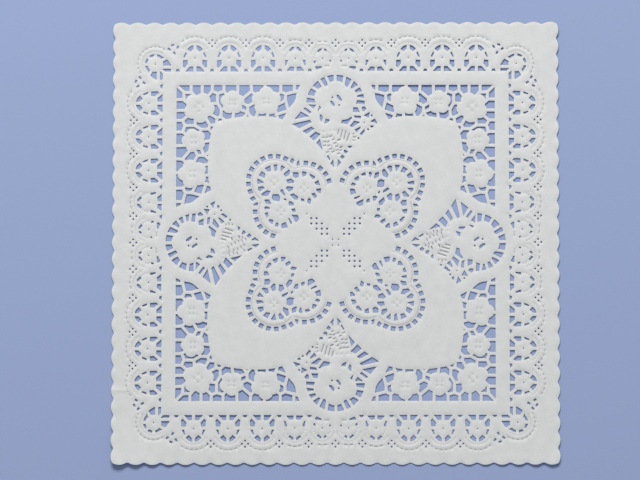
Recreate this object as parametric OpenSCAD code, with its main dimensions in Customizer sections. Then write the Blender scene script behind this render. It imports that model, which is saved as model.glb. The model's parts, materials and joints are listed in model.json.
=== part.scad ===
// Square paper doily: one embossed, die-cut sheet of paper lying flat, face up.
// The origin is at the middle of the underside. Plain paper lies at the bottom level,
// and the lace fields stand one embossing step above it.

/* [Sheet] */
// Side of the square, from scallop tip to scallop tip
side = 254; // [250:1:260]
// Thickness of the paper
paper_t = 0.1; // [0.08:0.01:0.15]
// Height by which the lace fields are embossed above the plain paper
emboss_h = 0.06; // [0.04:0.01:0.07]
// Scallops along each edge
edge_scallops = 27; // [25:2:29]
// Height of an edge scallop
edge_scallop_h = 1.3; // [1:0.1:1.6]
// Radius of the rounded valley between two edge scallops
edge_valley_r = 1.8; // [1:0.1:2.4]

/* [Frame band] */
// Side of the square window inside the plain frame band
window_side = 181.3; // [180.5:0.1:182.5]
// Width of the plain frame band
frame_w = 8; // [7.6:0.1:8.4]
// Paper left round the openings of a lace field
field_rim = 1; // [0.8:0.1:1.1]

/* [Border arches] */
// Half width of a large arch opening
arch_half_w = 7; // [6.6:0.1:7.2]
// Height of a large arch opening above the frame band
arch_h = 15.2; // [14.6:0.1:15.5]
// Half width of a middle arch opening
mid_arch_half_w = 5.8; // [5.4:0.1:6]
// Half width of a small arch opening
small_arch_half_w = 4.7; // [4.4:0.1:4.9]
// Height of a middle or small arch opening
low_arch_h = 14.5; // [14.2:0.1:14.7]
// Width of the spokes of the arches and the corner medallions
spoke_w = 1.8; // [1.5:0.1:2]
// Radius of the bulge of the frame band over each side motif
bulge_r = 22.2; // [21.8:0.1:22.5]
// Radius of the round medallion in each corner of the border
corner_disc_r = 4.5; // [4.3:0.1:4.7]

/* [Punched dots] */
// Distance of each dot from the middle of its group of four
dot_spread = 1.75; // [1.6:0.05:1.9]
// Radius of a dot
dot_r = 0.55; // [0.45:0.05:0.6]
// Pitch of the eyelets along the diagonals of the sheet
eyelet_pitch = 3; // [2.8:0.05:3.1]
// Radius of an eyelet
eyelet_r = 0.65; // [0.5:0.05:0.75]
// Radius of a pin hole in the middle of a disc or flower
pin_r = 0.35; // [0.25:0.05:0.45]

/* [Corner net] */
// Depth of the net between the frame band and the plain leaf
net_depth = 18; // [17.7:0.1:18.2]
// Width of the bars of the net
net_bar_w = 1.75; // [1.5:0.05:1.9]
// Radius of the flower in the corner of the net
corner_flower_r = 9; // [8.7:0.1:9.2]
// Radius of the small flower along each arm of the net
small_flower_r = 7; // [6.8:0.1:7.2]
// Radius of the flower at the end of each arm
end_flower_r = 8.5; // [8.2:0.1:8.7]

/* [Side motif] */
// Distance of the rose from the middle of the doily
rose_y = 80; // [79.6:0.1:80.2]
// Radius of the rose
rose_r = 13.2; // [12.6:0.1:13.3]
// Outer radius of the fan of slits round the rose
fan_r = 16.6; // [16.3:0.1:16.8]
// Width of the bars of the fan
fan_bar_w = 1.7; // [1.4:0.05:1.9]

/* [Trefoil] */
// Distance of the main disc from the middle of the doily, along both axes
trefoil_xy = 34.9; // [34.5:0.1:35.2]
// Radius of the three discs
trefoil_disc_r = 6.4; // [6.1:0.1:6.7]
// Radius of the row of square holes round the trefoil
trefoil_row_r = 14.7; // [14.5:0.1:14.9]
// Side of each square hole
trefoil_square = 2.6; // [2.3:0.05:2.8]

/* [Hidden] */
$fn = 48;
half = side / 2;
window_half = window_side / 2;
border_y = window_half + frame_w;

// Edge scallops: the arcs of scallop and valley meet in a smooth line, at this depth below the tips
edge_pitch = side / edge_scallops;
edge_arcs = edge_pitch * edge_pitch / (8 * edge_scallop_h) + edge_scallop_h / 2;
edge_r = edge_arcs - edge_valley_r;
edge_join = edge_scallop_h * edge_r / edge_arcs;

// Border: where the arches stand along a side of the sheet, as shares of half that side
large_arch_shares = [-0.632, -0.479, -0.326, 0.326, 0.479, 0.632];
mid_arch_shares = [-0.181, 0.181];
small_arch_shares = [-0.0585, 0.0585];
// Groups of four dots and foot holes between the arches, as shares of the same length
group_shares = [-0.555, -0.4025, -0.25, -0.1195, 0, 0.1195, 0.25, 0.4025, 0.555];
foot_shares = [-0.709, -0.555, -0.4025, -0.25, -0.116, 0.116, 0.25, 0.4025, 0.555, 0.709];
// Height of the dot groups above the frame band, as a share of the large arch's height
group_y_share = 1.075;
// Half outline of a large arch opening from foot to crown, as shares of its half width and height
arch_outline_shares = [
    [0.77, 0], [0.9, 0.155], [1, 0.19], [0.97, 0.45], [0.935, 0.575], [0.775, 0.73], [0.625, 0.855],
    [0.4, 0.957], [0.136, 1.003], [0, 1.01]
];
// Height of the middle of an arch's disc, as a share of the arch's height
arch_disc_y_share = 0.515;
// Right half of a large arch's disc, from its middle, as shares of the arch's half width and height
arch_disc_shares = [
    [0.47, -0.325], [0.59, -0.214], [0.615, -0.08], [0.78, 0.03], [0.66, 0.2], [0.39, 0.23], [0.127, 0.35]
];
// Directions of a large arch's spokes on its right half
spoke_angles = [90, 41, -4, -50, -90];
// Height of the shoulder of an arch's field, as a share of the arch's height
arch_shoulder_share = 0.56;
// Openings of the right half of a middle arch, from its disc's middle, as shares of its half width
// and height
mid_opening_shares = [
    [[0.13, 0.465], [0.147, 0.372], [0.466, 0.276], [0.63, 0.33], [0.336, 0.455]],
    [[0.746, -0.061], [0.746, -0.127], [0.927, -0.281], [1.037, -0.281], [0.988, -0.061]],
    [[0.13, -0.345], [0.13, -0.5], [0.86, -0.49], [0.52, -0.325]]
];
// Openings of the left small arch, in the same shares; the last is the foot hole over the bulge
small_opening_shares = [
    [[-0.688, 0.292], [-0.48, 0.242], [-0.12, 0.341], [-0.12, 0.412], [-0.381, 0.383]],
    [[0.184, 0.325], [0.382, 0.269], [0.538, 0.311], [0.382, 0.382], [0.184, 0.397]],
    [[-1.08, -0.109], [-1.045, -0.207], [-0.856, -0.178], [-0.809, -0.081]],
    [[0.79, -0.076], [0.89, -0.145], [1.04, -0.131], [0.95, -0.052]],
    [[-0.85, -0.318], [-0.9, -0.382], [-0.66, -0.47], [-0.1, -0.42], [-0.085, -0.318]]
];
// Foot of a small arch's field below the frame line, as a share of the rim
low_foot_share = 0.3;
small_arch_foot = field_rim * low_foot_share;
// Foot hole between two arches: right half of its outline, as shares of the spoke's width
foot_hole_shares = [[0.72, 0], [0.38, 0.75]];
// Distance of a corner medallion from the frame band's corner, as a share of its radius
corner_place_share = 0.955;
// Openings of a corner medallion: ring and wing, as shares of its radius
corner_ring_share = 1.3;
corner_wing_shares = [[0.9, -0.955], [2, -0.955], [2, -0.1], [1.62, 0.5], [1.05, 0.92], [0, 0.92]];
// Directions of a corner medallion's spokes, and the height of its cross bar as a share of its radius
corner_spoke_angles = [30, 88, 135, 182, 240, 315];
corner_bar_share = -0.4;
// Group of four slits beside a corner medallion: place as shares of half the frame band's outer side
corner_group_shares = [0.9385, 1.1342];
// Places of the four slits as shares of a dot group's spread, and their turns
corner_slit_shares = [[-0.25, 1.15], [1.4, 0.5], [-1.4, -0.2], [0.3, -1.5]];
corner_slit_turns = [25, 60, -40, -60];
// Length and width of a slit, as shares of a dot's radius
corner_slit_size_shares = [3.3, 2.1];
// Eyelets along a diagonal: first place as a share of the pitch, then steps; pins before and after them
eyelet_start_share = 1.6;
diagonal_pin_shares = [0.57, 5.45];
eyelet_steps = [[0, 0], [1, 1], [2, 2], [3, 3], [0, 1], [1, 0], [1, 2], [2, 1], [2, 3], [3, 2]];

// Corner net, measured from the window's corner along one arm, as shares of the net's depth
net_outline_shares = [
    [1.22, 1.22], [1.36, 1.145], [1.555, 1.09], [1.78, 1.05], [2.055, 1.01], [2.39, 0.995],
    [2.78, 0.997], [3.06, 1.02], [3.36, 1.10], [3.445, 0.94], [3.57, 0.72], [3.715, 0.55],
    [3.77, 0.44], [3.80, 0.23], [3.905, 0]
];
corner_flower_shares = [0.714, 0.714];
small_flower_shares = [1.77, 0.55];
end_flower_shares = [2.84, 0.51];
net_bar_shares = [
    [[0, 0], [0.225, 0.225]], [[0.225, 0.225], [0.46, 0.24]], [[0.46, 0], [0.46, 0.20]],
    [[0.46, 0.20], [0.565, 0.335]],
    [[0.81, 0], [0.81, 0.30]], [[1.13, 0], [1.13, 0.19]], [[1.13, 0.19], [0.98, 0.36]],
    [[1.13, 0.19], [1.295, 0.265]], [[1.295, 0.265], [1.50, 0.20]], [[1.50, 0], [1.50, 0.20]],
    [[1.50, 0.20], [1.63, 0.36]], [[1.295, 0.265], [1.295, 0.58]], [[1.295, 0.58], [1.415, 0.785]],
    [[1.295, 0.58], [1.09, 0.60]], [[1.415, 0.785], [1.54, 0.74]], [[1.02, 0.905], [1.28, 1.05]],
    [[1.28, 1.05], [1.27, 1.20]], [[1.28, 1.05], [1.405, 1.015]], [[1.415, 0.785], [1.405, 1.015]],
    [[1.405, 1.015], [1.53, 1.13]], [[1.94, 0], [1.935, 0.29]], [[2.08, 0.44], [2.375, 0.19]],
    [[2.36, 0], [2.375, 0.19]], [[2.375, 0.19], [2.52, 0.355]], [[2.26, 0.67], [2.11, 0.595]],
    [[2.26, 0.67], [2.48, 0.55]], [[2.26, 0.67], [2.25, 0.885]], [[2.25, 0.885], [2.13, 1.04]],
    [[2.25, 0.885], [2.37, 1.03]], [[2.055, 0.795], [2.25, 0.87]], [[1.805, 0.89], [1.78, 1.09]],
    [[2.57, 0.85], [2.52, 1.03]], [[2.80, 0], [2.81, 0.11]], [[2.885, 0.89], [2.885, 1.03]],
    [[3.145, 0.85], [3.205, 1.09]], [[3.16, 0.945], [3.51, 0.83]], [[3.215, 0.61], [3.445, 0.50]],
    [[3.445, 0.48], [3.54, 0.83]], [[3.45, 0.285], [3.445, 0.50]], [[3.45, 0.29], [3.82, 0.19]],
    [[3.30, 0.21], [3.18, 0.32]], [[3.30, 0.21], [3.45, 0.285]], [[3.30, 0], [3.30, 0.21]],
    [[3.73, 0], [3.73, 0.22]]
];
// Radius of a petal, as a share of its flower's radius
petal_share = 0.49;

// Side motif, measured from the rose's middle, as shares of the fan's radius: right half of its outline
motif_outline_shares = [
    [0.06, -2.24], [0.265, -1.93], [0.41, -1.715], [0.565, -1.505], [0.755, -1.29], [0.99, -1.055],
    [1.235, -0.86], [1.47, -0.705], [1.385, -0.52], [1.205, -0.30], [1.10, -0.175], [0.99, -0.03]
];
fan_bar_angles = [-4.5, 8, 22, 37, 54, 71.5, 91, 110, 124.5, 145, 165.5, 181];
// Turn of each bar off the line to the rose's middle
fan_bar_leans = [0, -15, -9, -4, 9, 9, 0, 5, -3, 4, 6, 0];
fan_end_angles = [-4.5, 181];
motif_hole_shares = [
    // Slits on the left, from the fan down to the point
    [[-0.945, -0.031], [-0.66, -0.043], [-0.755, -0.185]],
    [[-1.111, -0.186], [-1.046, -0.131], [-0.829, -0.294], [-0.883, -0.359]],
    [[-1.194, -0.277], [-1.409, -0.545], [-0.902, -0.444]],
    [[-1.494, -0.71], [-0.878, -0.568], [-0.819, -0.651], [-1.251, -0.864]],
    [[-1.134, -0.96], [-0.829, -0.804], [-0.727, -0.876], [-0.99, -1.061]],
    [[-0.892, -1.148], [-0.687, -0.983], [-0.51, -1.06], [-0.751, -1.301]],
    [[-0.658, -1.371], [-0.539, -1.224], [-0.438, -1.625]],
    // Point
    [[-0.307, -1.824], [-0.251, -1.801], [-0.179, -1.941], [-0.212, -1.98]],
    [[-0.184, -2.091], [-0.08, -1.942], [-0.047, -2.222]],
    [[0.079, -1.921], [0.186, -2.059], [0.06, -2.21]],
    // Small holes along the right edge
    [[0.229, -1.777], [0.317, -1.86], [0.241, -1.948], [0.153, -1.865]],
    [[0.288, -1.597], [0.431, -1.662], [0.359, -1.753], [0.275, -1.695]],
    [[0.406, -1.475], [0.568, -1.469], [0.526, -1.553], [0.454, -1.553]],
    [[0.829, -1.055], [0.988, -0.883], [1.007, -0.978], [0.899, -1.118]],
    [[1.178, -0.769], [1.308, -0.769], [1.271, -0.843], [1.209, -0.843]],
    [[1.349, -0.524], [1.181, -0.626], [1.44, -0.705]],
    // Slits round the small flower
    [[0.902, -0.127], [0.991, -0.096], [1.059, -0.18], [0.975, -0.285], [0.912, -0.243]],
    [[1.17, -0.296], [0.958, -0.416], [1.147, -0.513]],
    [[0.604, -0.134], [0.754, -0.139], [0.829, -0.305], [0.593, -0.3]],
    [[0.619, -0.412], [0.876, -0.436], [0.867, -0.528], [0.663, -0.504]],
    [[0.639, -0.6], [0.847, -0.647], [0.57, -0.837], [0.483, -0.785]],
    [[0.184, -0.681], [0.222, -0.577], [0.402, -0.55], [0.539, -0.462], [0.572, -0.5], [0.402, -0.73]],
    [[0.648, -0.905], [0.857, -0.803], [0.857, -0.854], [0.721, -1.018]],
    // Slits between the rose and the curled petal
    [[-0.619, -0.275], [-0.56, -0.068], [-0.496, -0.146]],
    [[-0.542, -0.39], [-0.5, -0.38], [-0.437, -0.469], [-0.443, -0.547], [-0.495, -0.636], [-0.542, -0.552]],
    [[-0.385, -0.706], [-0.345, -0.542], [-0.193, -0.559], [-0.244, -0.649]],
    // Eyelets in the middle of the rose
    [[0.039, 0.304], [0.102, 0.298], [0.205, 0.167], [0.228, 0.098], [0.137, 0.098], [0.045, 0.201]],
    [[-0.191, 0.091], [-0.137, 0.102], [-0.051, 0.01], [-0.024, -0.075], [-0.078, -0.097], [-0.164, 0]]
];
motif_dot_shares = [[1.115, -0.90], [0.785, -1.21], [1.24, -0.42], [-0.11, 0.21], [0.12, -0.06]];
// Middle of the small flower
motif_pin_share = [0.98, -0.675];

// Trefoil, top left: middles of its three discs, as shares of the main disc's distance
disc_shares = [[-1, 1], [-0.51, 0.888], [-0.888, 0.51]];
// Slits round each disc, from its middle, as shares of the disc's radius
disc_slit_shares = [
    // Main disc
    [
        [[-0.36, 1.47], [-0.28, 0.97], [-0.60, 0.89], [-0.85, 1.23]],
        [[0.05, 0.89], [-0.07, 1.52], [0.28, 1.57], [0.26, 1.06]],
        [[0.58, 0.90], [0.56, 1.39], [0.70, 1.49], [0.97, 1.28]],
        [[1.30, 1.11], [1.41, 0.96], [1.34, 0.58], [0.94, 0.45], [0.84, 0.72]],
        [[1.74, -0.12], [1.18, -0.16], [1.08, 0.16], [1.46, 0.30], [1.75, 0.07]],
        [[1.70, -0.46], [1.64, -0.77], [1.28, -0.91], [1.00, -0.57], [1.17, -0.40]],
        [[1.02, -1.23], [0.82, -1.23], [0.53, -0.86], [0.60, -0.68], [0.76, -0.70]],
        [[0.47, -1.76], [-0.09, -1.69], [-0.23, -1.44], [-0.12, -1.12], [0.40, -1.12], [0.54, -1.38]],
        [[-1.15, -1.18], [-1.11, -1.06], [-0.62, -0.76], [-0.33, -0.84], [-0.51, -1.26], [-0.99, -1.32]],
        [[-0.84, -0.55], [-1.27, -0.89], [-1.45, -0.73], [-1.41, -0.45], [-1.01, -0.40]],
        [[-0.89, -0.07], [-1.49, -0.20], [-1.51, 0.21], [-1.38, 0.26]],
        [[-0.86, 0.32], [-1.37, 0.56], [-1.11, 0.97], [-0.78, 0.69]]
    ],
    // Disc on the right
    [
        [[-1.02, 1.46], [-0.52, 1.46], [-0.49, 1.04], [-0.76, 0.92], [-1.01, 1.08]],
        [[-0.15, 1.04], [-0.21, 1.50], [-0.09, 1.54], [0.20, 1.46], [0.18, 1.19]],
        [[0.49, 1.33], [0.94, 1.10], [0.96, 0.91], [0.76, 0.83], [0.47, 1.14]],
        [[1.42, 0.28], [1.06, 0.30], [0.90, 0.55], [1.24, 0.76]],
        [[1.06, -0.04], [1.49, 0.01], [1.48, -0.40], [1.30, -0.42], [1.07, -0.18]],
        [[0.62, -0.46], [0.91, -0.39], [1.13, -0.72], [1.00, -0.86], [0.85, -0.86]],
        [[0.53, -1.43], [0.27, -1.25], [0.30, -0.96], [0.46, -0.83], [0.62, -1.01]],
        [[-0.29, -0.88], [-0.01, -0.94], [0.01, -1.17], [-0.29, -1.15]],
        [[-1.29, -0.55], [-0.95, -0.45], [-0.54, -0.73], [-0.57, -1.00], [-0.88, -1.01]]
    ],
    // Disc below
    [
        [[-0.91, 0.64], [-1.38, 0.72], [-1.49, 1.06], [-1.09, 1.09], [-0.90, 0.78]],
        [[-0.98, 0.26], [-1.43, 0.15], [-1.50, 0.38], [-1.31, 0.47], [-1.03, 0.36]],
        [[-1.28, -0.56], [-1.46, -0.17], [-1.25, -0.07], [-1.16, -0.12], [-1.12, -0.39]],
        [[-1.14, -0.78], [-0.97, -0.68], [-0.66, -0.77], [-0.74, -1.11], [-0.92, -1.09]],
        [[-0.34, -0.98], [-0.19, -1.12], [-0.31, -1.43], [-0.54, -1.30], [-0.45, -1.03]],
        [[0.02, -1.46], [0.04, -1.10], [0.42, -0.95], [0.60, -1.43], [0.14, -1.51]],
        [[0.63, -0.60], [0.75, -0.62], [0.97, -0.98], [0.94, -1.16], [0.80, -1.10]],
        [[0.94, -0.30], [1.49, -0.34], [1.61, -0.68], [1.42, -0.94], [1.25, -0.92]],
        [[1.32, 0], [1.21, -0.06], [1.01, -0.02], [0.89, 0.22], [1.22, 0.28]],
        [[1.14, 0.55], [0.71, 0.52], [0.65, 0.76], [0.76, 0.96], [1.08, 0.79]],
        [[0.20, 1.10], [0.26, 1.17], [0.41, 1.16], [0.51, 1.04], [0.37, 0.98]]
    ]
];
// Square holes round each disc: first direction, turn from one to the next and their number
disc_rows = [[64, 17.3, 9], [17, 17.4, 5], [252, -17.8, 5]];
// Narrow holes where the rows meet, as shares of the main disc's distance
row_joint_shares = [
    [[-0.701, 1.390], [-0.669, 1.355], [-0.706, 1.293], [-0.747, 1.331], [-0.722, 1.380]],
    [[-0.596, 1.354], [-0.582, 1.273], [-0.636, 1.261], [-0.630, 1.323]],
    [[-1.295, 0.715], [-1.359, 0.678], [-1.400, 0.727], [-1.333, 0.766]],
    [[-1.342, 0.611], [-1.335, 0.629], [-1.290, 0.658], [-1.259, 0.655], [-1.267, 0.603]]
];
// Radius of the trefoil's field round each disc, as a share of the radius of the row of square holes
trefoil_field_share = 0.827;

function unit(v) = v / norm(v);
function outward(from, to) = [unit(to - from)[1], -unit(to - from)[0]];
function sized(points, w, h) = [for (p = points) [p[0] * w, p[1] * h]];
function flipped(points) = [for (i = [len(points) - 1:-1:0]) [-points[i][0], points[i][1]]];
function swapped(points) = [for (i = [len(points) - 1:-1:0]) [points[i][1], points[i][0]]];
function crossed(points) = [for (i = [len(points) - 1:-1:0]) [-points[i][1], -points[i][0]]];
// A closed outline, drawn counterclockwise, moved outward by d
function grown(points, d) = [
    for (i = [0:len(points) - 1])
        let (
            here = points[i],
            a = outward(points[(i + len(points) - 1) % len(points)], here),
            b = outward(here, points[(i + 1) % len(points)])
        )
        here + (a + b) * d / (1 + a * b)
];
// A place in the corner net, from shares of its depth
function net_at(p) = [p[0] * net_depth - window_half, window_half - p[1] * net_depth];

// Copies its children to the four sides of the square
module on_four_sides() {
    for (turn = [0:90:270]) rotate(turn) children();
}

// A straight bar of paper from one point to another, running past both by half its width
module bar(from, to, w) {
    run = to - from;
    translate(from) rotate(atan2(run[1], run[0])) translate([-w / 2, -w / 2]) square([norm(run) + w, w]);
}

// A bar from the origin in one direction
module spoke(angle, reach, w) {
    rotate(angle) translate([0, -w / 2]) square([reach, w]);
}

// Four round holes about a middle point
module dot_group(spread, r) {
    for (turn = [0:90:270]) rotate(turn) translate([spread, 0]) circle(r);
}

// Four slits beside a corner medallion, top left
module slit_group() {
    for (i = [0:len(corner_slit_shares) - 1])
        translate(corner_slit_shares[i] * dot_spread)
            rotate(corner_slit_turns[i]) square(corner_slit_size_shares * dot_r, center = true);
}

// A flower of round petals
module flower(r, petals, first) {
    petal_r = r * petal_share;
    circle(r - petal_r);
    for (i = [0:petals - 1]) rotate(first + i * 360 / petals) translate([r - petal_r, 0]) circle(petal_r);
}

// The strip of paper between two opposite scalloped edges
module scalloped_strip() {
    reach = (edge_scallops + 1) / 2;
    valley_y = half - edge_scallop_h + edge_valley_r;
    difference() {
        union() {
            square([2 * side, 2 * (half - edge_join)], center = true);
            for (i = [-reach:reach], s = [-1, 1])
                translate([i * edge_pitch, s * (half - edge_r)]) circle(edge_r);
        }
        for (i = [-reach:reach], s = [-1, 1])
            translate([(i + 1 / 2) * edge_pitch, s * valley_y]) circle(edge_valley_r);
    }
}

// The whole outline of the sheet
module sheet_outline() {
    intersection() {
        scalloped_strip();
        rotate(90) scalloped_strip();
    }
}

// Openings of one large border arch, standing on the frame band
module arch_openings() {
    outline = sized(arch_outline_shares, arch_half_w, arch_h);
    disc = sized(arch_disc_shares, arch_half_w, arch_h);
    difference() {
        polygon(concat(outline, flipped(outline)));
        translate([0, arch_h * arch_disc_y_share]) {
            polygon(concat(disc, flipped(disc)));
            for (a = spoke_angles) spoke(a, arch_h, spoke_w);
            for (a = spoke_angles) spoke(180 - a, arch_h, spoke_w);
        }
    }
}

// Openings of a low border arch, about the middle of its disc
module low_openings(half_w, shares) {
    translate([0, low_arch_h * arch_disc_y_share])
        for (h = shares) polygon(sized(h, half_w, low_arch_h));
}

// Pin hole in the middle of an arch's disc
module arch_pin(h) {
    translate([0, h * arch_disc_y_share]) circle(pin_r);
}

// Outline of the field of one border arch
module arch_field(half_w, h, foot) {
    w = half_w + field_rim;
    translate([-w, -foot]) square([2 * w, foot + h * arch_shoulder_share]);
    translate([0, h * arch_shoulder_share]) circle(w);
}

// Fields of all arches on the top side
module side_fields() {
    for (s = large_arch_shares)
        translate([s * half, border_y]) arch_field(arch_half_w, arch_h, field_rim);
    for (s = mid_arch_shares)
        translate([s * half, border_y]) arch_field(mid_arch_half_w, low_arch_h, field_rim);
    for (s = small_arch_shares)
        translate([s * half, border_y]) arch_field(small_arch_half_w, low_arch_h, small_arch_foot);
}

// All arches on the top side; the two small ones stand on the bulge of the frame band
module side_arches() {
    for (s = large_arch_shares)
        translate([s * half, border_y])
            difference() {
                arch_field(arch_half_w, arch_h, field_rim);
                arch_openings();
                arch_pin(arch_h);
            }
    for (s = mid_arch_shares)
        translate([s * half, border_y])
            difference() {
                arch_field(mid_arch_half_w, low_arch_h, field_rim);
                low_openings(mid_arch_half_w, mid_opening_shares);
                low_openings(mid_arch_half_w, [for (h = mid_opening_shares) flipped(h)]);
                arch_pin(low_arch_h);
            }
    for (s = small_arch_shares)
        translate([s * half, border_y])
            difference() {
                arch_field(small_arch_half_w, low_arch_h, small_arch_foot);
                arch_pin(low_arch_h);
                difference() {
                    mirror([s < 0 ? 0 : 1, 0]) low_openings(small_arch_half_w, small_opening_shares);
                    translate([-s * half, rose_y - border_y]) circle(bulge_r);
                }
            }
}

// Outline of the openings of the corner medallion, with some paper round it
module corner_outline(rim) {
    wing = grown(sized(corner_wing_shares, corner_disc_r, corner_disc_r), rim);
    circle(corner_disc_r * corner_ring_share + rim);
    polygon(wing);
    polygon(crossed(wing));
}

// Corner medallion of the border, top left, about its own middle
module corner_medallion() {
    bar_y = corner_disc_r * corner_bar_share;
    reach = 3 * corner_disc_r;
    difference() {
        corner_outline(field_rim);
        circle(pin_r);
        difference() {
            corner_outline(0);
            circle(corner_disc_r);
            for (a = corner_spoke_angles) spoke(a, reach, spoke_w);
            bar([0, bar_y], [reach, bar_y], spoke_w);
            bar([-bar_y, 0], [-bar_y, -reach], spoke_w);
        }
    }
}

// Moves its children to the middle of the corner medallion, top left
module at_corner() {
    c = border_y + corner_disc_r * corner_place_share;
    translate([-c, c]) children();
}

// Holes punched through the plain paper along the top side and in the top left quarter
module plain_holes() {
    foot_hole = sized(foot_hole_shares, spoke_w, spoke_w);
    for (s = group_shares)
        translate([s * half, border_y + arch_h * group_y_share]) dot_group(dot_spread, dot_r);
    for (s = foot_shares)
        translate([s * half, border_y]) polygon(concat(foot_hole, flipped(foot_hole)));
    for (s = [-1, 1])
        translate([s * corner_group_shares[0], corner_group_shares[1]] * border_y)
            mirror([s < 0 ? 0 : 1, 0]) slit_group();
    for (s = diagonal_pin_shares)
        translate([-s, s] * eyelet_pitch) circle(pin_r);
    for (k = eyelet_steps)
        translate([-k[0] - eyelet_start_share, k[1] + eyelet_start_share] * eyelet_pitch)
            circle(eyelet_r);
    for (i = [0:len(disc_rows) - 1], k = [0:disc_rows[i][2] - 1])
        translate(disc_shares[i] * trefoil_xy)
            rotate(disc_rows[i][0] + k * disc_rows[i][1])
                translate([trefoil_row_r, 0]) square(trefoil_square, center = true);
    for (h = row_joint_shares) polygon(sized(h, trefoil_xy, trefoil_xy));
}

// Outline of the corner net's openings, top left, with some paper round it
module net_outline(rim) {
    arm = [for (p = net_outline_shares) net_at(p)];
    other = [for (p = swapped(net_outline_shares)) net_at(p)];
    outline = concat(arm, [net_at([0, 0])], [for (i = [0:len(other) - 2]) other[i]]);
    polygon(grown(outline, rim));
}

// Corner net, top left: three kinds of flower held by bars
module net() {
    difference() {
        net_outline(field_rim);
        difference() {
            net_outline(0);
            translate(net_at(corner_flower_shares)) flower(corner_flower_r, 5, 135);
            translate(net_at(small_flower_shares)) flower(small_flower_r, 5, 90);
            translate(net_at(swapped([small_flower_shares])[0])) flower(small_flower_r, 5, 180);
            translate(net_at(end_flower_shares)) flower(end_flower_r, 5, 90);
            translate(net_at(swapped([end_flower_shares])[0])) flower(end_flower_r, 5, 180);
            for (b = net_bar_shares) bar(net_at(b[0]), net_at(b[1]), net_bar_w);
            for (b = net_bar_shares) bar(net_at(swapped(b)[0]), net_at(swapped(b)[1]), net_bar_w);
        }
    }
}

// Outline of the side motif's openings, about the rose's middle, with some paper round it
module motif_outline(rim) {
    right = sized(motif_outline_shares, fan_r, fan_r);
    circle(fan_r + rim);
    polygon(grown(concat(right, flipped(right)), rim));
}

// Slits of the fan over the rose
module fan_openings() {
    reach = 2 * fan_r;
    difference() {
        circle(fan_r);
        flower(rose_r, 6, 88);
        polygon([
            [0, 0],
            reach * [cos(fan_end_angles[1]), sin(fan_end_angles[1])],
            [-reach, -reach],
            [reach, -reach],
            reach * [cos(fan_end_angles[0]), sin(fan_end_angles[0])]
        ]);
        for (i = [0:len(fan_bar_angles) - 1])
            rotate(fan_bar_angles[i]) translate([fan_r, 0]) rotate(fan_bar_leans[i])
                translate([-fan_r, 0]) spoke(0, reach, fan_bar_w);
    }
}

// Side motif of the top side: a rose in its fan, a curled petal, a leaf and a small flower
module motif() {
    difference() {
        motif_outline(field_rim);
        fan_openings();
        for (h = motif_hole_shares) polygon(sized(h, fan_r, fan_r));
        for (p = motif_dot_shares) translate(p * fan_r) circle(dot_r);
        translate(motif_pin_share * fan_r) circle(pin_r);
    }
}

// Outline of the field of the trefoil, top left
module trefoil_field() {
    for (p = disc_shares) translate(p * trefoil_xy) circle(trefoil_row_r * trefoil_field_share);
}

// Trefoil, top left: three discs and the slits round them
module trefoil() {
    difference() {
        trefoil_field();
        for (i = [0:len(disc_shares) - 1], h = disc_slit_shares[i])
            translate(disc_shares[i] * trefoil_xy) polygon(sized(h, trefoil_disc_r, trefoil_disc_r));
    }
}

// The plain paper, with room for the lace fields
module plain_paper() {
    difference() {
        sheet_outline();
        on_four_sides() {
            side_fields();
            at_corner() corner_outline(field_rim);
            net_outline(field_rim);
            translate([0, rose_y]) motif_outline(field_rim);
            trefoil_field();
            plain_holes();
        }
    }
}

// The embossed lace fields
module lace() {
    on_four_sides() {
        side_arches();
        at_corner() corner_medallion();
        net();
        translate([0, rose_y]) motif();
        trefoil();
    }
}

// The doily, in one piece
module doily() {
    color([0.95, 0.95, 0.94]) {
        linear_extrude(paper_t) plain_paper();
        translate([0, 0, emboss_h]) linear_extrude(paper_t) lace();
    }
}

doily();
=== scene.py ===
# %% [markdown]
# # A lace-paper doily
# The doily is one square sheet of thin white paper. A press embosses it and cuts its lace in a
# single stroke, so the sheet has a scalloped edge, over a thousand openings with softly rounded
# rims, and rows of pressed beads that never go right through. The CAD sheet gives every
# opening its true outline. Here that outline is kept, and the paper between the openings gets
# the relief and the slight unevenness that flat solids lack.

# %% Load the flat sheet
import json
import math

import bpy
import numpy as np
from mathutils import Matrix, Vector, noise
from mathutils.bvhtree import BVHTree
from mathutils.geometry import delaunay_2d_cdt
from mathutils.kdtree import KDTree

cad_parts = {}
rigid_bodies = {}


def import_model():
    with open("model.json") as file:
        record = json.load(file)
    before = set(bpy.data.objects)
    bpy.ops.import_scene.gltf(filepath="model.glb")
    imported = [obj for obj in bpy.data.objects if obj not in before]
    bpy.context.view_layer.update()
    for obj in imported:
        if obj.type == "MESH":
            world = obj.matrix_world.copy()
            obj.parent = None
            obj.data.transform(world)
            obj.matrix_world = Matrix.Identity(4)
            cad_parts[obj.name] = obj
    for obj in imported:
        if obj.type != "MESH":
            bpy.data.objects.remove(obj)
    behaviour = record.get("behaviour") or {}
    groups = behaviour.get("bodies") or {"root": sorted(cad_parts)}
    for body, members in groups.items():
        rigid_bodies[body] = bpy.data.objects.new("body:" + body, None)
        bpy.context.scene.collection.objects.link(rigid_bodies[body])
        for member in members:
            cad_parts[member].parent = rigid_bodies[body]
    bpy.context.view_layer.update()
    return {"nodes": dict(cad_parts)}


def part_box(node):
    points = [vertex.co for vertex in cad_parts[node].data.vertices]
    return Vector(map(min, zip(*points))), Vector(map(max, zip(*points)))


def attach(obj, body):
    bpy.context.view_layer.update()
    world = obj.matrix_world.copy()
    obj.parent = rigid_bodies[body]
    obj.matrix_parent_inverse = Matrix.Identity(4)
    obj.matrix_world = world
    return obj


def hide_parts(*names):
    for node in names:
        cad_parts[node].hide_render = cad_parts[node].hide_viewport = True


for leftover in list(bpy.data.objects):
    bpy.data.objects.remove(leftover)
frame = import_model()
flat_sheet = frame["nodes"]["doily"]
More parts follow.
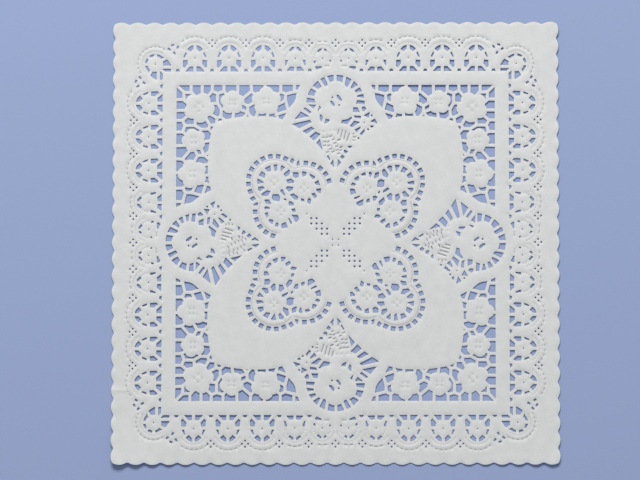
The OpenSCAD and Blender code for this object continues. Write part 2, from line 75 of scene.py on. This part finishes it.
# All lengths below are in millimetres until the mesh is built
MM = 0.001
low_corner, high_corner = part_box("doily")
SIDE = (high_corner[0] - low_corner[0]) / MM
HALF = SIDE / 2
print(f"flat sheet: {SIDE:.1f} mm square, {len(flat_sheet.data.polygons)} triangles")

# %% [markdown]
# ## The outlines of the lace
# The openings are already exact in the CAD sheet, so they are traced from it and not drawn again.
# A copy of its mesh is merged, everything but the upper faces is deleted, and what is left is
# pressed flat. The edges that then belong to one face only are the outlines of the sheet and of
# its openings.

# %% Trace the outlines
MERGE = 0.002 * MM
LOOKS_UP = 0.5

tracing = bpy.data.objects.new("tracing", flat_sheet.data.copy())
bpy.context.collection.objects.link(tracing)
bpy.ops.object.select_all(action="DESELECT")
tracing.select_set(True)
bpy.context.view_layer.objects.active = tracing

bpy.ops.object.mode_set(mode="EDIT")
bpy.ops.mesh.select_mode(type="FACE")
bpy.ops.mesh.select_all(action="SELECT")
bpy.ops.mesh.remove_doubles(threshold=MERGE)
bpy.ops.mesh.select_all(action="DESELECT")
bpy.ops.object.mode_set(mode="OBJECT")
for face in tracing.data.polygons:
    face.select = face.normal.z < LOOKS_UP
bpy.ops.object.mode_set(mode="EDIT")
bpy.ops.mesh.delete(type="FACE")
bpy.ops.mesh.select_all(action="SELECT")
bpy.ops.transform.resize(value=(1, 1, 0))
bpy.ops.mesh.remove_doubles(threshold=MERGE)
bpy.ops.mesh.select_mode(type="EDGE")
bpy.ops.mesh.select_all(action="DESELECT")
bpy.ops.mesh.select_non_manifold(
    extend=False, use_wire=False, use_boundary=True, use_multi_face=False,
    use_non_contiguous=False, use_verts=False,
)
bpy.ops.object.mode_set(mode="OBJECT")
corners = np.array([v.co[:2] for v in tracing.data.vertices]) / MM
outline = [tuple(e.vertices) for e in tracing.data.edges if e.select]
bpy.data.objects.remove(tracing)
print(f"outlines: {len(outline)} edges")

# %% Chain the edges into closed loops
neighbours = {}
for a, b in outline:
    neighbours.setdefault(a, []).append(b)
    neighbours.setdefault(b, []).append(a)

loops = []
passed = set()
for start in sorted(neighbours):
    if start in passed:
        continue
    loop, here = [], start
    while here not in passed:
        passed.add(here)
        loop.append(here)
        here = next((n for n in neighbours[here] if n not in passed), start)
    loops.append(corners[loop])


def signed_area(loop):
    ahead = np.roll(loop, -1, 0)
    return 0.5 * float((loop[:, 0] * ahead[:, 1] - ahead[:, 0] * loop[:, 1]).sum())


loops.sort(key=lambda loop: -abs(signed_area(loop)))
print(f"loops: 1 edge and {len(loops) - 1} openings")

# %% [markdown]
# ## Points for a new sheet
# A flat face can't be embossed: the paper needs points inside it that can be lifted and pressed.
# Remeshing with voxels would round off the openings, so the sheet is triangulated again from
# chosen points: even steps along each outline, two rows that follow the outline a little way
# in, so that each rim can roll down smoothly, and a loose lattice over the plain paper.

# %% Even steps along each outline
OUTLINE_STEP = 1.1
FEWEST_STEPS = 9
CORNER_COS = math.cos(math.radians(28))
NO_LENGTH = 1e-9


def unit_rows(vectors):
    return vectors / np.maximum(np.linalg.norm(vectors, axis=1, keepdims=True), NO_LENGTH)


def along(run, count):
    """Evenly spaced points along an open run, without its last point."""
    lengths = np.linalg.norm(np.diff(run, axis=0), axis=1)
    far = np.concatenate([[0], np.cumsum(lengths)])
    at = np.linspace(0, far[-1], count + 1)[:-1]
    return np.column_stack([np.interp(at, far, run[:, i]) for i in (0, 1)])


def evened(loop, step, fewest):
    """A closed loop with its corners kept and the runs between them evenly stepped."""
    before = unit_rows(loop - np.roll(loop, 1, 0))
    after = unit_rows(np.roll(loop, -1, 0) - loop)
    sharp = np.flatnonzero((before * after).sum(1) < CORNER_COS)
    if len(sharp) == 0:
        sharp = np.array([0])
    closed = np.concatenate([loop, loop])
    runs = []
    for first, last in zip(sharp, np.append(sharp[1:], sharp[0] + len(loop))):
        run = closed[first:last + 1]
        length = np.linalg.norm(np.diff(run, axis=0), axis=1).sum()
        least = fewest if len(sharp) == 1 else 1
        runs.append(along(run, max(least, round(length / step))))
    return np.concatenate(runs)


rims = [evened(loop, OUTLINE_STEP, FEWEST_STEPS) for loop in loops]
print(f"outline points: {sum(len(rim) for rim in rims)}")

# %% Distance to the nearest opening
SAMPLE_STEP = 0.3

samples = np.concatenate([evened(loop, SAMPLE_STEP, FEWEST_STEPS) for loop in loops])
to_outline = KDTree(len(samples))
for i, (x, y) in enumerate(samples):
    to_outline.insert((x, y, 0), i)
to_outline.balance()

paper = BVHTree.FromObject(flat_sheet, bpy.context.evaluated_depsgraph_get())
DROP_FROM = 1.0
DOWN = Vector((0, 0, -1))


def on_paper(x, y):
    return paper.ray_cast(Vector((x * MM, y * MM, DROP_FROM)), DOWN)[0] is not None


def outline_distance(x, y):
    return to_outline.find((x, y, 0))[2]


print(f"outline samples: {len(samples)}")

# %% [markdown]
# ## The pressed ornaments
# The press leaves marks that don't cut the paper: dotted lines and dashes round the arches,
# dimples in the flowers, veins in the leaves, and smooth raised bands. A displacement texture
# would be the quick way, but then nothing would be left in the mesh. So each mark is listed by
# its place, direction and length on one side or quarter, turned to the other three, and later
# pressed into the points.

# %% Helpers for rows of marks
QUARTER = math.pi / 2
BAND_STEP = 1.0


def arc_marks(middle, radius, first, last, pitch, half_length=0.0):
    """Marks at even steps on an arc, each lying along it."""
    steps = max(1, round(abs(math.radians(last - first)) * radius / pitch))
    marks = []
    for angle in np.radians(np.linspace(first, last, steps + 1)):
        x = middle[0] + radius * math.cos(angle)
        y = middle[1] + radius * math.sin(angle)
        marks.append((x, y, angle + QUARTER, half_length))
    return marks


def band_marks(middle, radius, first, last):
    """A raised band along an arc, in pieces that meet end to end."""
    return arc_marks(middle, radius, first, last, BAND_STEP, BAND_STEP / 2)


def line_mark(start, end):
    """One long mark from a point to another."""
    dx, dy = end[0] - start[0], end[1] - start[1]
    middle = ((start[0] + end[0]) / 2, (start[1] + end[1]) / 2)
    return (*middle, math.atan2(dy, dx), math.hypot(dx, dy) / 2)


def four_turns(marks):
    """The same marks on all four sides."""
    turned = []
    for k in range(4):
        c, s = round(math.cos(k * QUARTER)), round(math.sin(k * QUARTER))
        turned += [(x * c - y * s, x * s + y * c, a + k * QUARTER, n) for x, y, a, n in marks]
    return turned


def crossed_over(marks):
    """The same marks mirrored over the diagonal of the top left quarter."""
    return [(-y, -x, -QUARTER - a, n) for x, y, a, n in marks]


print("helpers: arcs, bands, lines, quarter turns and mirrored marks")

# %% Marks of the large arches
BEAD_PITCH = 1.35
DASH, DASH_PITCH = 0.55, 2.7
ARCH_Y = 107.2
LARGE_ARCHES = (-80.26, -60.83, -41.4, 41.4, 60.83, 80.26)
# Radius of each row of marks over an arch, and the angles where it starts and ends
LARGE_BEADS = (8.2, 35, 145)
LARGE_DASHES = (11.4, 56, 128)
LARGE_BAND = (9.7, 20, 160)

beads, dashes, bands = [], [], []
for x in LARGE_ARCHES:
    beads += arc_marks((x, ARCH_Y), *LARGE_BEADS, BEAD_PITCH)
    dashes += arc_marks((x, ARCH_Y), *LARGE_DASHES, DASH_PITCH, DASH)
    bands += band_marks((x, ARCH_Y), *LARGE_BAND)
print(f"large arches, one side: {len(beads)} beads, {len(dashes)} dashes")

# %% Marks of the middle and small arches
MIDDLE_ARCHES = (-22.99, 22.99)
MIDDLE_BEADS = (7.2, 30, 150)
MIDDLE_DISC_BEADS = ((5.5, 12, 42), (5.5, 138, 168))
MIDDLE_DASHES = (9.5, 73, 107)
MIDDLE_DASH_PITCH = 2.8
MIDDLE_BAND = (8.4, 30, 150)
SMALL_ARCHES = (-7.43, 7.43)
SMALL_BEADS = (6.6, 15, 165)
SMALL_DISC_BEADS = ((4.9, 5, 40), (4.9, 140, 175))
SMALL_DASHES = (8.6, 79, 101)
SMALL_DASH_PITCH = 3.1
SMALL_BAND = (7.6, 40, 140)
CROWN_DASH = 0.75
LOW_DISC_Y = 106.1
FOOT_Y = 101.7
FOOT_DASHES = ((1.4, 2.2), (2.9, 3.7))

for x in MIDDLE_ARCHES:
    beads += arc_marks((x, ARCH_Y), *MIDDLE_BEADS, BEAD_PITCH)
    for row in MIDDLE_DISC_BEADS:
        beads += arc_marks((x, LOW_DISC_Y), *row, BEAD_PITCH)
    dashes += arc_marks((x, ARCH_Y), *MIDDLE_DASHES, MIDDLE_DASH_PITCH, CROWN_DASH)
    bands += band_marks((x, ARCH_Y), *MIDDLE_BAND)
for x in SMALL_ARCHES:
    beads += arc_marks((x, ARCH_Y), *SMALL_BEADS, BEAD_PITCH)
    for row in SMALL_DISC_BEADS:
        beads += arc_marks((x, LOW_DISC_Y), *row, BEAD_PITCH)
    dashes += arc_marks((x, ARCH_Y), *SMALL_DASHES, SMALL_DASH_PITCH, CROWN_DASH)
    bands += band_marks((x, ARCH_Y), *SMALL_BAND)
    inner = 1 if x < 0 else -1
    for a, b in FOOT_DASHES:
        dashes.append(line_mark((x + inner * a, FOOT_Y), (x + inner * b, FOOT_Y)))
print(f"all arches, one side: {len(beads)} beads, {len(dashes)} dashes")

# %% Marks of the corner medallion
CORNER_MIDDLE = (-102.95, 102.95)
CORNER_BEADS = (7.3, 55, 215)
CORNER_DASHES = (9.9, 60, 210)
CORNER_BAND = (8.6, 50, 220)
WING_ENDS = ((-97.4, 109.5), (-91.6, 102.9))

beads += arc_marks(CORNER_MIDDLE, *CORNER_BEADS, BEAD_PITCH)
dashes += arc_marks(CORNER_MIDDLE, *CORNER_DASHES, DASH_PITCH, DASH)
bands += band_marks(CORNER_MIDDLE, *CORNER_BAND)
wing = [line_mark(*WING_ENDS)]
bands += wing + crossed_over(wing)
print(f"border, one side: {len(beads)} beads, {len(dashes)} dashes")

# %% Dimples of the flowers and discs
CORNER_FLOWER = (-77.8, 77.8)
CORNER_DIMPLES_R = 2.25
SIDE_FLOWERS = ((-58.8, 80.8), (-39.5, 81.5))
SIDE_DIMPLES_X, SIDE_DIMPLES_Y = 1.45, 1.1
DISCS = ((-34.9, 34.9), (-17.8, 31.0), (-31.0, 17.8))
DISC_DIMPLES_R = 1.9


def four_dimples(middle, radius):
    return arc_marks(middle, radius, 0, 270, radius * QUARTER)


dimples = four_dimples(CORNER_FLOWER, CORNER_DIMPLES_R)
for x, y in SIDE_FLOWERS:
    flower = [
        (x + sx * SIDE_DIMPLES_X, y + sy * SIDE_DIMPLES_Y, 0.0, 0.0)
        for sx in (-1, 1) for sy in (-1, 1)
    ]
    dimples += flower + crossed_over(flower)
for middle in DISCS:
    dimples += four_dimples(middle, DISC_DIMPLES_R)
print(f"dimples in one quarter: {len(dimples)}")

# %% Marks round the trefoil
TREFOIL_MIDDLE = (-27, 27)
LINE_R = 12.6
LINE_STEP = 1.2
LINE_HALF = 0.4 * LINE_STEP
TREFOIL_BAND_R = 11.4
# How far the line runs round each disc to either side, and how far it is turned from straight out
SPREADS = (95, 52, 52)
TURNS = (0, 38, -38)

lines = []
for middle, spread, turn in zip(DISCS, SPREADS, TURNS):
    out_x, out_y = middle[0] - TREFOIL_MIDDLE[0], middle[1] - TREFOIL_MIDDLE[1]
    away = turn + math.degrees(math.atan2(out_y, out_x))
    ends = (away - spread, away + spread)
    lines += arc_marks(middle, LINE_R, *ends, LINE_STEP, LINE_HALF)
    bands += band_marks(middle, TREFOIL_BAND_R, *ends)
print(f"pieces of line round one trefoil: {len(lines)}")

# %% Veins of the leaf and the curled petal
LONG_VEINS = (
    ((2.0, 65.1), (1.25, 62.2)), ((4.0, 64.7), (2.8, 60.3)), ((5.95, 64.2), (4.75, 59.3)),
    ((7.9, 62.7), (6.45, 58.3)), ((9.95, 62.15), (10.5, 62.55)), ((9.9, 60.5), (11.5, 60.55)),
    ((9.9, 58.75), (10.6, 58.4)),
)
SHORT_VEINS = (
    (-7.0, 60.3), (-5.0, 60.35), (-2.8, 60.9), (-6.25, 57.8), (-4.3, 57.75), (-1.3, 59.1),
    (-6.2, 55.7), (-3.85, 55.65), (-0.3, 57.0), (0.65, 55.1), (-2.8, 53.6), (0.9, 53.0),
    (2.85, 52.9), (-4.6, 51.85), (-1.4, 52.0), (1.75, 51.0),
)
DEEP_VEINS = ((2.0, 58.9), (3.15, 54.7))
VEIN_SLANT = math.radians(22)
VEIN_HALF = 0.7
PETAL_DOTS = ((-9.1, 64.0), (-6.7, 63.6), (-3.3, 64.0), (-0.6, 64.2))
PETAL_MIDDLE = (-6.9, 71.0)
PETAL_BAND = (5.2, 165, 330)

veins = [line_mark(*vein) for vein in LONG_VEINS]
veins += [(x, y, VEIN_SLANT, VEIN_HALF) for x, y in SHORT_VEINS]
dents = [(x, y, VEIN_SLANT, VEIN_HALF) for x, y in DEEP_VEINS]
beads += [(x, y, 0.0, 0.0) for x, y in PETAL_DOTS]
bands += band_marks(PETAL_MIDDLE, *PETAL_BAND)
print(f"in one motif: {len(veins)} veins, {len(dents)} deep dents")

# %% Turn the marks to all four sides
BAND_H, BAND_W = 0.06, 2.2
# Each kind of sunk mark with its depth, its reach and how much painted shade greys it
SUNK = (
    (four_turns(beads), 0.20, 0.36, 0.50),
    (four_turns(dimples), 0.30, 0.70, 0.42),
    (four_turns(dashes), 0.24, 0.40, 0.55),
    (four_turns(veins), 0.28, 0.42, 0.85),
    (four_turns(dents), 0.45, 0.50, 1.00),
    (four_turns(lines), 0.12, 0.34, 0.50),
)
bands = four_turns(bands)
sunk_count = sum(len(marks) for marks, _, _, _ in SUNK)
print(f"marks: {len(bands)} pieces of band and {sunk_count} that are sunk")

# %% The crease in the margin
# Handling left it, so it is on the left side only, and it stands up
CREASE_H, CREASE_W = 0.14, 0.7
CREASE_PATH = ((-126.6, -84.3), (-121.6, -84.4), (-117.0, -85.0))

crease = [line_mark(start, end) for start, end in zip(CREASE_PATH, CREASE_PATH[1:])]
print(f"crease: {sum(2 * half for _, _, _, half in crease):.1f} mm long")

# %% [markdown]
# ## The sheet's own points
# Points are taken in order of worth: outlines first, then the marks, then the rows along the
# rims, then the lattice. Each is taken only if no point is too near it already, which keeps the
# triangles even.

# %% Choose the points
CELL = 0.5
taken = {}
points = []


def near_taken(x, y, gap):
    reach = math.ceil(gap / CELL)
    cx, cy = math.floor(x / CELL), math.floor(y / CELL)
    for i in range(cx - reach, cx + reach + 1):
        for j in range(cy - reach, cy + reach + 1):
            for px, py in taken.get((i, j), ()):
                if (px - x) ** 2 + (py - y) ** 2 < gap * gap:
                    return True
    return False


def take(x, y):
    taken.setdefault((math.floor(x / CELL), math.floor(y / CELL)), []).append((x, y))
    points.append((x, y))


rim_edges = []
for rim in rims:
    first = len(points)
    for x, y in rim:
        take(x, y)
    count = len(rim)
    rim_edges += [(first + i, first + (i + 1) % count) for i in range(count)]
rim_count = len(points)
print(f"outline points: {rim_count}")

# %% Points for the marks
MARK_SIDES = 6
MARK_STEP = 0.5
MARK_GAP = 0.24
MARK_CLEAR = 0.28


def take_if_free(x, y, gap, clear):
    if not near_taken(x, y, gap) and on_paper(x, y) and outline_distance(x, y) > clear:
        take(x, y)


def around_mark(half, reach):
    """Points of one mark, along it and across it: its spine, then a ring where it ends."""
    if half:
        spine = np.linspace(-half, half, max(2, round(half / MARK_STEP) + 1))
        spread = [(t, 0.0) for t in spine]
        spread += [(t, side * reach) for side in (-1, 1) for t in spine]
        spread += [(end * (half + reach), 0.0) for end in (-1, 1)]
        return spread
    turns = [2 * math.pi * k / MARK_SIDES for k in range(MARK_SIDES)]
    return [(0.0, 0.0)] + [(reach * math.cos(a), reach * math.sin(a)) for a in turns]


for marks, reach in [(marks, reach) for marks, _, reach, _ in SUNK] + [(crease, CREASE_W)]:
    for x, y, angle, half in marks:
        c, s = math.cos(angle), math.sin(angle)
        for t, u in around_mark(half, reach):
            take_if_free(x + c * t - s * u, y + s * t + c * u, MARK_GAP, MARK_CLEAR)
mark_count = len(points) - rim_count
print(f"points for marks: {mark_count}")

# %% Rows along the rims
# How far in each row lies, its gap to other points and its least distance from any outline
ROWS = ((0.40, 0.40, 0.34), (0.95, 0.72, 0.80))


def inward(rim, is_edge):
    """Direction into the paper at each point of a rim."""
    before = unit_rows(rim - np.roll(rim, 1, 0))
    after = unit_rows(np.roll(rim, -1, 0) - rim)
    way = unit_rows(before + after)
    left = np.column_stack([-way[:, 1], way[:, 0]])
    return left * (1 if (signed_area(rim) > 0) == is_edge else -1)


for depth, gap, clear in ROWS:
    for i, rim in enumerate(rims):
        for x, y in rim + inward(rim, i == 0) * depth:
            take_if_free(x, y, gap, clear)
row_count = len(points) - rim_count - mark_count
print(f"points on the rows: {row_count}")

# %% Lattice over the plain paper
LATTICE_STEP = 2.0
LATTICE_RISE = LATTICE_STEP * math.sqrt(3) / 2
LATTICE_CLEAR = 1.35
LATTICE_GAP = 0.95

for j in range(int(SIDE / LATTICE_RISE) + 1):
    y = -HALF + j * LATTICE_RISE
    for i in range(int(SIDE / LATTICE_STEP) + 1):
        x = -HALF + (i + 0.5 * (j % 2)) * LATTICE_STEP
        take_if_free(x, y, LATTICE_GAP, LATTICE_CLEAR)
print(f"points on the lattice: {len(points) - rim_count - mark_count - row_count}")

# %% Triangulate between the outlines
TOLERANCE = 1e-5
# Kind of output: triangles inside the outlines only
INSIDE = 1

flat_points, _, triangles, _, _, _ = delaunay_2d_cdt(
    [Vector(p) for p in points], rim_edges, [], INSIDE, TOLERANCE
)
flat_points = np.array([tuple(p) for p in flat_points])
middles = [flat_points[list(t)].mean(0) for t in triangles]
triangles = [t for t, (x, y) in zip(triangles, middles) if on_paper(x, y)]
used = sorted({v for t in triangles for v in t})
place = {v: i for i, v in enumerate(used)}
triangles = [tuple(place[v] for v in t) for t in triangles]
flat_points = flat_points[used]
print(f"sheet: {len(flat_points)} points, {len(triangles)} triangles")

# %% [markdown]
# ## Embossing the sheet
# Each point gets a height from what surrounds it. Near an opening the paper rolls down, because
# the die pushes it before it cuts. Wide parts swell a little. Then the bands and the crease are
# raised, the other marks are pressed in, and the margin gets the soft flutes under its scallops.
# How much painted shade each point gets in the sunk marks is kept beside its height, for the
# finish to read.

# %% Rolled rims and swelling
RIM_DROP = 0.15
RIM_WIDTH = 0.32
SWELL = 0.05
SWELL_WIDTH = 2.6

rim_distance = np.array([outline_distance(x, y) for x, y in flat_points])
height = RIM_DROP * (1 - np.exp(-rim_distance / RIM_WIDTH))
height += SWELL * (1 - np.exp(-(rim_distance / SWELL_WIDTH) ** 2))
print(f"rims: {height.min():.2f} to {height.max():.2f} mm")

# %% Press the marks in
sheet_points = KDTree(len(flat_points))
for i, (x, y) in enumerate(flat_points):
    sheet_points.insert((x, y, 0), i)
sheet_points.balance()


def pressed(marks, reach):
    """How far each point lies in one of the marks, from 0 where it ends to 1 on its spine."""
    depth = np.zeros(len(flat_points))
    for x, y, angle, half in marks:
        near = [i for _, i, _ in sheet_points.find_range((x, y, 0), half + reach)]
        if not near:
            continue
        offset = flat_points[near] - (x, y)
        c, s = math.cos(angle), math.sin(angle)
        past_end = np.maximum(np.abs(offset[:, 0] * c + offset[:, 1] * s) - half, 0)
        aside = offset[:, 1] * c - offset[:, 0] * s
        bowl = np.clip(1 - (past_end ** 2 + aside ** 2) / reach ** 2, 0, 1) ** 2
        depth[near] = np.maximum(depth[near], bowl)
    return depth


height += BAND_H * pressed(bands, BAND_W) + CREASE_H * pressed(crease, CREASE_W)
# Painted shade: each sunk mark is greyed by how far into it a point lies
painted_dent_shade = np.zeros(len(flat_points))
for marks, depth, reach, shade_share in SUNK:
    sunk = pressed(marks, reach)
    height -= depth * sunk
    painted_dent_shade = np.maximum(painted_dent_shade, shade_share * sunk)
print(f"embossed: {height.min():.2f} to {height.max():.2f} mm")

# %% Flutes under the scallops
SCALLOPS = 27
FLUTE = 0.22
FLUTE_REACH = 5.0

pitch = SIDE / SCALLOPS
for across, inwards in ((0, 1), (1, 0)):
    to_edge = HALF - np.abs(flat_points[:, inwards])
    fade = np.clip(1 - to_edge / FLUTE_REACH, 0, 1) ** 2
    height += FLUTE * fade * np.cos(math.pi * flat_points[:, across] / pitch) ** 2
print(f"with flutes: {height.min():.2f} to {height.max():.2f} mm")

# %% [markdown]
# ## How the sheet lies
# Thin paper never lies dead flat. It cockles, and its corners lift, one of them more than the
# others. A cloth simulation would drape it too softly, so long shallow waves, a finer unevenness
# and a lift at each corner are added to the heights.

# %% Cockle the sheet and lift its corners
WAVE, WAVE_SIZE, WAVE_SEED = 0.32, 95.0, 3.7
COCKLE, COCKLE_SIZE, COCKLE_SEED = 0.07, 16.0, 11.3
CORNER_LIFTS = {(-1, -1): 1.7, (1, -1): 0.6, (-1, 1): 0.5, (1, 1): 0.7}
LIFT_FROM, LIFT_TO = 146.0, 180.0


def uneven(size, seed):
    places = [Vector((px / size, py / size, seed)) for px, py in flat_points]
    return np.array([noise.noise(at) for at in places])


height += WAVE * uneven(WAVE_SIZE, WAVE_SEED)
height += COCKLE * uneven(COCKLE_SIZE, COCKLE_SEED)
x, y = flat_points[:, 0], flat_points[:, 1]
for (sx, sy), lift in CORNER_LIFTS.items():
    to_corner = (x * sx + y * sy) / math.sqrt(2)
    out = np.clip((to_corner - LIFT_FROM) / (LIFT_TO - LIFT_FROM), 0, 1)
    height += lift * out ** 2
print(f"lying sheet: {height.min():.2f} to {height.max():.2f} mm")

# %% Build the mesh
PAPER_T = 0.1

height += PAPER_T - height.min()
mesh = bpy.data.meshes.new("lace_paper")
mesh.from_pydata(
    [(px * MM, py * MM, pz * MM) for (px, py), pz in zip(flat_points, height)], [], triangles
)
# The painted shade of the sunk marks is kept on the mesh beside the heights
painted_shade_layer = mesh.attributes.new("painted_dent_shade", "FLOAT", "POINT")
painted_shade_layer.data.foreach_set("value", painted_dent_shade.astype(np.float32))
mesh.validate()
doily = bpy.data.objects.new("lace_paper", mesh)
bpy.context.collection.objects.link(doily)
bpy.ops.object.select_all(action="DESELECT")
doily.select_set(True)
bpy.context.view_layer.objects.active = doily

bpy.ops.object.mode_set(mode="EDIT")
bpy.ops.mesh.select_all(action="SELECT")
bpy.ops.mesh.normals_make_consistent(inside=False)
bpy.ops.object.mode_set(mode="OBJECT")
if doily.data.polygons[0].normal.z < 0:
    doily.data.flip_normals()
print(f"upper face: {len(doily.data.polygons)} triangles")

# %% Give the paper its thickness
SMOOTH_UNDER = math.radians(50)

thickness = doily.modifiers.new("thickness", "SOLIDIFY")
thickness.thickness = PAPER_T * MM
thickness.offset = -1
thickness.use_even_offset = False
bpy.ops.object.modifier_apply(modifier=thickness.name)
bpy.ops.object.shade_smooth_by_angle(angle=SMOOTH_UNDER)
print(f"paper: {sum(len(p.vertices) - 2 for p in doily.data.polygons)} triangles")

# %% [markdown]
# ## The paper's finish
# The paper is uncoated and white, slightly warm, with a faint cloudiness from its fibres and no
# gloss. A flat white would look like plastic. Two noises, one cloudy and one fibrous, vary the
# colour and roughness a little, and a fine bump gives the tooth of the paper. In the sunk marks
# the value kept on the mesh turns the white towards grey, as painted shade.

# %% Cloudy white
PAPER_DULL = (0.74, 0.74, 0.725, 1)
PAPER_WHITE = (0.83, 0.83, 0.82, 1)

paper_finish = bpy.data.materials.new("white_paper")
paper_finish.use_nodes = True
nodes, links = paper_finish.node_tree.nodes, paper_finish.node_tree.links
shader = nodes["Principled BSDF"]
shader.inputs["Specular IOR Level"].default_value = 0.25

place_on = nodes.new("ShaderNodeTexCoord")
cloud = nodes.new("ShaderNodeTexNoise")
cloud.inputs["Scale"].default_value = 160
cloud.inputs["Detail"].default_value = 3
fibre = nodes.new("ShaderNodeTexNoise")
fibre.inputs["Scale"].default_value = 1100
fibre.inputs["Detail"].default_value = 4
links.new(place_on.outputs["Object"], cloud.inputs["Vector"])
links.new(place_on.outputs["Object"], fibre.inputs["Vector"])

both = nodes.new("ShaderNodeMix")
both.inputs["Factor"].default_value = 0.5
links.new(cloud.outputs["Fac"], both.inputs["A"])
links.new(fibre.outputs["Fac"], both.inputs["B"])
tint = nodes.new("ShaderNodeValToRGB")
dull_end, white_end = tint.color_ramp.elements
dull_end.position, dull_end.color = 0.3, PAPER_DULL
white_end.position, white_end.color = 0.7, PAPER_WHITE
links.new(both.outputs["Result"], tint.inputs["Fac"])
print(f"cloudy white: {len(nodes)} nodes")

# %% Painted shade in the marks, roughness and tooth
# Grey of the painted shade in the sunk marks
PAINTED_SHADE_GREY = (0.2, 0.2, 0.23, 1)
SMOOTHEST, ROUGHEST = 0.78, 0.95
TOOTH = 0.05

# Painted shade: the colour is mixed towards grey where the marks are sunk
shade_in_dents = nodes.new("ShaderNodeAttribute")
shade_in_dents.attribute_name = "painted_dent_shade"
shaded_colour = nodes.new("ShaderNodeMix")
shaded_colour.data_type = "RGBA"
shaded_colour.inputs["B"].default_value = PAINTED_SHADE_GREY
links.new(shade_in_dents.outputs["Fac"], shaded_colour.inputs["Factor"])
links.new(tint.outputs["Color"], shaded_colour.inputs["A"])
links.new(shaded_colour.outputs["Result"], shader.inputs["Base Color"])

matt = nodes.new("ShaderNodeMapRange")
matt.inputs["To Min"].default_value = SMOOTHEST
matt.inputs["To Max"].default_value = ROUGHEST
links.new(fibre.outputs["Fac"], matt.inputs["Value"])
links.new(matt.outputs["Result"], shader.inputs["Roughness"])

tooth = nodes.new("ShaderNodeBump")
tooth.inputs["Strength"].default_value = 0.25
tooth.inputs["Distance"].default_value = TOOTH * MM
links.new(fibre.outputs["Fac"], tooth.inputs["Height"])
links.new(tooth.outputs["Normal"], shader.inputs["Normal"])
doily.data.materials.clear()
doily.data.materials.append(paper_finish)
print(f"paper finish: {len(nodes)} nodes")

# %% [markdown]
# ## Table, light and camera
# White lace needs a ground that shows through its openings, so the floor is a pale, dull blue.
# A broad soft lamp stands beyond the top edge and a little high, so that it grazes the
# embossing, and the world fills the shadows. The camera looks down from far away, tilted by eight
# degrees, so that the square sheet is a little shorter than it is wide in the picture.

# %% Floor
FLOOR_SIDE = 6
GROUND_BLUE = (0.36, 0.44, 0.68, 1)

bpy.ops.object.select_all(action="DESELECT")
bpy.ops.mesh.primitive_plane_add(size=FLOOR_SIDE)
floor = bpy.context.object
floor.name = "floor"
ground = bpy.data.materials.new("pale_ground")
ground.use_nodes = True
ground_shader = ground.node_tree.nodes["Principled BSDF"]
ground_shader.inputs["Base Color"].default_value = GROUND_BLUE
ground_shader.inputs["Roughness"].default_value = 0.9
ground_shader.inputs["Specular IOR Level"].default_value = 0.1
floor.data.materials.append(ground)
print(f"floor: {FLOOR_SIDE} m square")

# %% Light
ROOM_COLOUR = (0.9, 0.95, 1, 1)
ROOM_STRENGTH = 0.3
LAMP_AT = Vector((-0.25, 2.1, 1.35))
LAMP_WIDTH, LAMP_HEIGHT = 1.4, 0.7
LAMP_POWER = 68

world = bpy.data.worlds.new("soft_room")
bpy.context.scene.world = world
world.use_nodes = True
room = world.node_tree.nodes["Background"]
room.inputs["Color"].default_value = ROOM_COLOUR
room.inputs["Strength"].default_value = ROOM_STRENGTH

bpy.ops.object.light_add(type="AREA", location=LAMP_AT)
lamp = bpy.context.object
lamp.name = "window_lamp"
lamp.data.shape = "RECTANGLE"
lamp.data.size = LAMP_WIDTH
lamp.data.size_y = LAMP_HEIGHT
lamp.data.energy = LAMP_POWER
lamp.rotation_euler = (-LAMP_AT).to_track_quat("-Z", "Y").to_euler()
print(f"lamp {LAMP_AT.length:.2f} m away")

# %% Camera
CAMERA_AT = (0.0384, -0.4719, 3.2)
CAMERA_TURN = (0.14685, 0.01465, 0.00076)
CAMERA_LENS = 320.4
SENSOR_WIDTH = 36
FARTHEST = 20

bpy.ops.object.camera_add(location=CAMERA_AT, rotation=CAMERA_TURN)
camera = bpy.context.object
camera.data.sensor_width = SENSOR_WIDTH
camera.data.lens = CAMERA_LENS
camera.data.clip_end = FARTHEST
bpy.context.scene.camera = camera
bpy.context.scene.view_settings.view_transform = "Standard"
print(f"camera lens {camera.data.lens:.1f} mm")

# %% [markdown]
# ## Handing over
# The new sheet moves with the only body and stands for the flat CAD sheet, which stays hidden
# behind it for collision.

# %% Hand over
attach(doily, "root")
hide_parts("doily")
